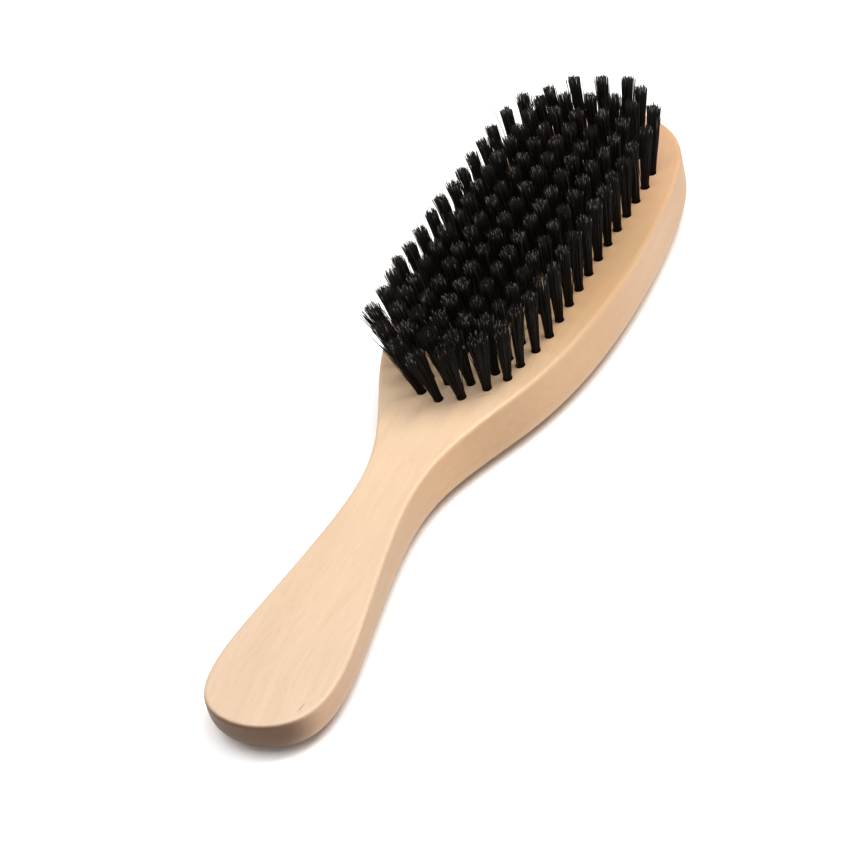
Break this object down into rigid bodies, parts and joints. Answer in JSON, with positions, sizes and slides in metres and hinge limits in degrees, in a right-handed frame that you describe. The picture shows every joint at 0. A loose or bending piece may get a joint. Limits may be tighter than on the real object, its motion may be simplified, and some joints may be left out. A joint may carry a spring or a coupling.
{
  "type": "clothes brush",
  "caption": "One-piece wooden clothes brush with a slim waisted handle and a long oval head carrying rows of dark staple-set bristle tufts.",
  "frame": {"origin": "middle of the footprint on the flat back, which is the plane Z = 0", "axes": "+X along the brush from the handle to the head, +Y across the head, +Z out of the bristle face; the brush lies on its back with the bristles up"},
  "size_m": [0.228, 0.0548, 0.0347],
  "materials": {
    "wood": "pale beech, sanded, satin",
    "bristle": "black bristle, dull with light tips",
    "anchor_wire": "drawn flat wire"
  },
  "bodies": {
    "root": {"anchor_row_01": "anchor_wire", "anchor_row_02": "anchor_wire", "anchor_row_03": "anchor_wire", "anchor_row_04": "anchor_wire", "anchor_row_05": "anchor_wire", "anchor_row_06": "anchor_wire", "anchor_row_07": "anchor_wire", "anchor_row_08": "anchor_wire", "anchor_row_09": "anchor_wire", "anchor_row_10": "anchor_wire", "anchor_row_11": "anchor_wire", "anchor_row_12": "anchor_wire", "anchor_row_13": "anchor_wire", "anchor_row_14": "anchor_wire", "anchor_row_15": "anchor_wire", "anchor_row_16": "anchor_wire", "anchor_row_17": "anchor_wire", "anchor_row_18": "anchor_wire", "board": "wood", "tuft_row_01": "bristle", "tuft_row_02": "bristle", "tuft_row_03": "bristle", "tuft_row_04": "bristle", "tuft_row_05": "bristle", "tuft_row_06": "bristle", "tuft_row_07": "bristle", "tuft_row_08": "bristle", "tuft_row_09": "bristle", "tuft_row_10": "bristle", "tuft_row_11": "bristle", "tuft_row_12": "bristle", "tuft_row_13": "bristle", "tuft_row_14": "bristle", "tuft_row_15": "bristle", "tuft_row_16": "bristle", "tuft_row_17": "bristle", "tuft_row_18": "bristle"}
  },
  "joints": []
}
